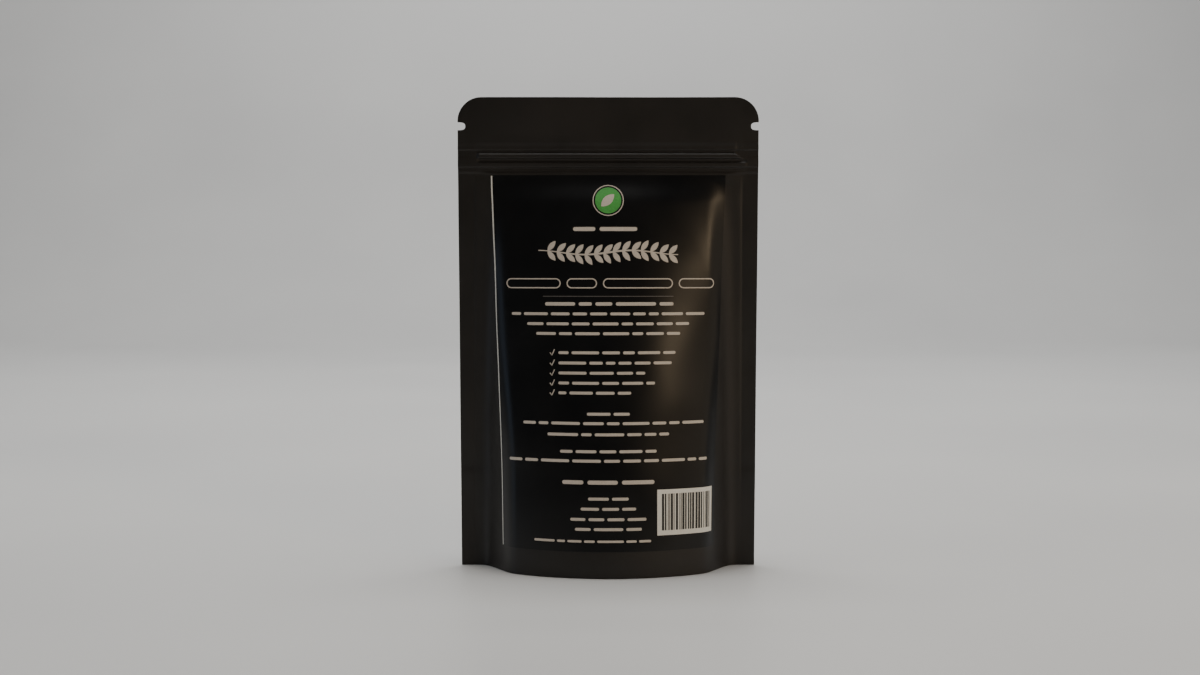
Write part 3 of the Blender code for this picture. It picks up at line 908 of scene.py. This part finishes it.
edge_z = np.linspace(0.2, (LABEL_SPAN[1] - LABEL_SPAN[0]) / MM - 0.2, 240)
edge = np.stack([np.full(240, EDGE_S), edge_z], axis=-1)[None] * MM
printed("white_edge", ribbons(edge, np.full((1, 240), EDGE_HALF)), INK_LIFT, white)

field = np.stack([np.linspace(*FIELD_SPAN, 41), np.full(41, FIELD_LEVEL)], axis=-1)[None] * MM
field_half = np.full((1, 41), FIELD_HALF)
field_flat = ribbons(field, field_half, across=np.linspace(1.0, -1.0, 21))
printed("white_field", field_flat, INK_LIFT, white)

bar_widths = rng.choice([BAR, BAR, 2 * BAR, 3 * BAR], BARS_TRIED)
bar_gaps = rng.choice([BAR, BAR, 2 * BAR], BARS_TRIED)
bar_s = BARS_SPAN[0] + np.cumsum(bar_widths + bar_gaps) - bar_widths / 2
inside = bar_s < BARS_SPAN[1]
bar_places = np.broadcast_arrays(bar_s[inside][:, None], np.linspace(*BARS_HEIGHT, 16)[None])
bar_path = np.stack(bar_places, axis=-1) * MM
bar_half = np.broadcast_to(bar_widths[inside][:, None] / 2 * MM, bar_path.shape[:2])
printed("field_bars", ribbons(bar_path, bar_half), OVERPRINT_LIFT, dark)

# %% [markdown]
# ## The zip's strips
# Each strip is one extrusion of milky plastic: a thin flange, welded to the film, with its track
# on the inner side. The front one carries two beads with a neck and a wider head, the back one
# two pairs of claws whose lips hold the heads. An extrusion is one outline drawn along a path, so
# it is modelled that way. At its ends the side seals have crushed it to a plain bar that fills
# the room between the films.

# %% Zip strips
STRIP_SPAN = (170.6, 182.8)  # heights, mm
TRACKS = (177.5, 173.7)
FLANGE = 0.14 * MM
FACE_POINTS, FLANGE_POINTS = 150, 24
CRUSHED_INSIDE = (0.03 * MM, 0.07 * MM)
# Upper half of each track, going down: (height over its crest, depth) in mm, None on the flange.
BEAD = np.array([(0.25, None), (0.25, 0.08), (0.50, 0.02), (0.50, -0.15), (0.15, -0.35)], float)
CLAW = np.array([(1.00, None), (1.00, -0.30), (0.34, -0.38), (0.34, -0.20), (0.62, -0.05),
                 (0.62, None)], float)


def flange_face(x, z):
    """Depth of the strip's outer face: the film's middle less the film's thickness, which leaves
    a hair between them even where the film is steep."""
    return TWO_LAYERS + zip_relief(x, z) - FILM - SKIN_GAP


def strip_outline(track):
    """(height, depth) points round a strip: up the outer face, then down the inner face, which
    runs along with the outer one, except that each crest has the track's shape, first its upper
    half and then the same mirrored."""
    up = np.linspace(*STRIP_SPAN, FACE_POINTS) * MM
    outer = np.stack([up, flange_face(0.0, up)], axis=-1)
    inner, above = [], STRIP_SPAN[1]
    for crest in TRACKS:
        inner += [(h, np.nan) for h in np.linspace(above, crest + track[0, 0], FLANGE_POINTS)]
        inner += [(crest + h, d) for h, d in track[1:]]
        inner += [(crest - h, d) for h, d in track[:0:-1]]
        above = crest - track[0, 0]
    inner += [(h, np.nan) for h in np.linspace(above, STRIP_SPAN[0], FLANGE_POINTS)]
    inner = np.array(inner) * MM
    on_face = np.isnan(inner[:, 1])
    inner[on_face, 1] = flange_face(0.0, inner[on_face, 0]) - FLANGE
    return np.concatenate([outer, inner])


def add_extrusion(name, outline, side, material):
    """The outline drawn along x on the front (side -1) or the back (1). Its outer face follows
    the film. Beyond the stops its inner face goes over to a share of a thin range near y = 0."""
    x = spaced(-64.5, 0.25, -53.5, 1.5, -44.0, 8.0, 44.0, 1.5, 53.5, 0.25, 64.5)[:, None]
    z, depth = outline[:, 0], outline[:, 1]
    share = (depth - depth.min()) / (depth.max() - depth.min())
    flat = CRUSHED_INSIDE[0] + share * (CRUSHED_INSIDE[1] - CRUSHED_INSIDE[0])
    inner = depth + crushed(x, z) * (flat - depth)
    depth = np.where(np.arange(len(z)) < FACE_POINTS, flange_face(x, z), inner)
    rings = np.stack([np.broadcast_to(-side * x, depth.shape), side * depth,
                      np.broadcast_to(z, depth.shape)], axis=-1)
    index = np.arange(depth.size).reshape(depth.shape)
    wide = np.concatenate([index, index[:, :1]], axis=1)
    corners = [wide[:-1, :-1], wide[1:, :-1], wide[1:, 1:], wide[:-1, 1:]]
    faces = np.stack(corners, axis=-1).reshape(-1, 4)
    caps = [index[0].tolist(), index[-1, ::-1].tolist()]
    mesh = bpy.data.meshes.new(name)
    mesh.from_pydata(rings.reshape(-1, 3).tolist(), [], faces.tolist() + caps)
    mesh.materials.append(material)
    piece = bpy.data.objects.new(name, mesh)
    bpy.context.scene.collection.objects.link(piece)
    print(f"{name}: {len(mesh.polygons)} faces")
    return piece


def zip_material():
    """Milky plastic with faint streaks along the strip."""
    material, tree, shader, place = new_material("zip_plastic_milky")
    streaks = noise(tree, stretched(tree, place, (0.02, 1.0, 1.0)), 2500.0)
    clouds = noise(tree, place, 90.0)
    feed(tree, shader, Base_Color=ramp(tree, clouds, (0.58, 0.59, 0.60), (0.68, 0.69, 0.70)),
         Roughness=ranged(tree, streaks, (0.3, 0.7), (0.26, 0.38)), Subsurface_Weight=0.3,
         Subsurface_Scale=0.002)
    bump(tree, shader, streaks, 0.15, 0.00003)
    return material


zip_plastic = zip_material()
bead_strip = add_extrusion("bead_strip", strip_outline(BEAD), -1, zip_plastic)
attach(bead_strip, "root")
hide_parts("zip_bead_strip")
groove_strip = add_extrusion("groove_strip", strip_outline(CLAW), 1, zip_plastic)
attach(groove_strip, "root")
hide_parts("zip_groove_strip")

# %% [markdown]
# ## The filling
# The heap of alder cones comes from the CAD model as it is, because the film hides it. It still
# gets a real surface of dry, scaly brown wood.

# %% Material of the cones


def cone_material():
    """Dry wood scales: light in each cell's middle, dark towards its rim, dusty and rough."""
    material, tree, shader, place = new_material("cone_scales")
    voronoi = add_node(tree, "ShaderNodeTexVoronoi", {"Vector": place, "Scale": 420.0})
    cells = voronoi.outputs["Distance"]
    dust = noise(tree, place, 700.0, 5.0)
    gaps = ranged(tree, cells, (0.1, 0.8), (0.75, 0.2))
    shade = add(tree, gaps, add(tree, dust, 0.3, "MULTIPLY"))
    feed(tree, shader, Base_Color=ramp(tree, shade, (0.030, 0.017, 0.010), (0.135, 0.078, 0.042)),
         Roughness=ranged(tree, dust, (0.3, 0.7), (0.78, 0.92)))
    bump(tree, shader, cells, 0.8, 0.0006)
    return material


cone_scales = cone_material()
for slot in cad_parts["alder_cones"].material_slots:
    slot.material = cone_scales
print("alder_cones wears", cone_scales.name)

# %% [markdown]
# ## The studio
# A black object needs bright, large surfaces to reflect, or it turns into a hole. So a pale floor
# runs back and up into a wall in one curve, which leaves no line behind the object.

# %% Floor
FLOOR_HALF = 4.0
CURVE_FROM, CURVE_RADIUS = 1.8, 0.9
WALL_FROM, WALL_TOP = 1.1, 3.6
BOARD = 2.0 * MM
FLOOR_GAP = 0.1 * MM


def floor_points():
    """A floor that curves up into a wall: a straight, a quarter circle and a straight in (y, z),
    swept along x."""
    turn = np.linspace(0.0, math.pi / 2, 17)[1:, None]
    ahead = np.linspace(-FLOOR_HALF, CURVE_FROM, 24)[:, None]
    up = np.linspace(WALL_FROM, WALL_TOP, 8)[:, None]
    y = np.concatenate([ahead, CURVE_FROM + CURVE_RADIUS * np.sin(turn),
                        CURVE_FROM + CURVE_RADIUS + 0.0 * up])
    z = np.concatenate([0.0 * ahead, CURVE_RADIUS * (1.0 - np.cos(turn)), up])
    x = np.linspace(-FLOOR_HALF, FLOOR_HALF, 9)
    return np.stack(np.broadcast_arrays(x, y, z), axis=-1)


def floor_material():
    """Pale painted board with barely visible clouds."""
    material, tree, shader, place = new_material("studio_board")
    clouds = noise(tree, place, 3.0)
    feed(tree, shader, Base_Color=ramp(tree, clouds, (0.58, 0.58, 0.575), (0.62, 0.62, 0.61)),
         Roughness=ranged(tree, clouds, (0.3, 0.7), (0.42, 0.50)))
    return material


board = floor_points() - (0.0, 0.0, BOARD / 2 + FLOOR_GAP)
floor = add_sheet("studio_floor", board, BOARD, floor_material())

# %% [markdown]
# ## The lamps
# All five are soft rectangles. A small warm one in front to the right makes the streak down the
# label, a wide warm one at the right and a cool one at the left edge the flanks, a wide one
# overhead draws the zip's ridges, and the last washes the wall.

# %% Lamps and surroundings
LAMPS = (  # (name, place, target, size, power in watts, colour)
    ("key_warm", (0.79, -0.97, 0.54), (0.0, 0.0, 0.10), (0.26, 0.14), 2.4, (1.0, 0.74, 0.46)),
    ("side_warm", (1.20, -0.45, 0.30), (0.0, 0.0, 0.10), (1.00, 0.90), 2.2, (1.0, 0.80, 0.58)),
    ("side_cool", (-1.20, -0.25, 0.25), (0.0, 0.0, 0.08), (0.40, 0.60), 0.55, (0.52, 0.70, 1.0)),
    ("overhead", (0.0, 0.20, 1.60), (0.0, 0.20, 0.0), (1.60, 0.90), 28.0, (1.0, 0.99, 0.97)),
    ("wall_wash", (0.0, 1.10, 1.90), (0.0, 2.70, 0.60), (2.40, 0.60), 34.0, (1.0, 1.0, 1.0)),
)
WORLD_COLOUR = (0.92, 0.93, 0.95, 1.0)
WORLD_STRENGTH = 0.10


def add_lamp(name, place, target, size, power, colour):
    """A rectangular soft light that points at a target: tilted up from straight down by the
    angle between its way and -Z, then turned about Z."""
    data = bpy.data.lights.new(name, "AREA")
    data.shape = "RECTANGLE"
    data.size, data.size_y = size
    data.energy = power
    data.color = colour
    lamp = bpy.data.objects.new(name, data)
    lamp.location = place
    away = np.array(target) - np.array(place)
    flat = math.hypot(away[0], away[1])
    lamp.rotation_euler = (math.atan2(flat, -away[2]), 0.0, math.atan2(-away[0], away[1]))
    bpy.context.scene.collection.objects.link(lamp)


for lamp in LAMPS:
    add_lamp(*lamp)

world = bpy.data.worlds.new("studio")
world.use_nodes = True
background = world.node_tree.nodes["Background"]
background.inputs["Color"].default_value = WORLD_COLOUR
background.inputs["Strength"].default_value = WORLD_STRENGTH
bpy.context.scene.world = world
print("lamps:", len(LAMPS))
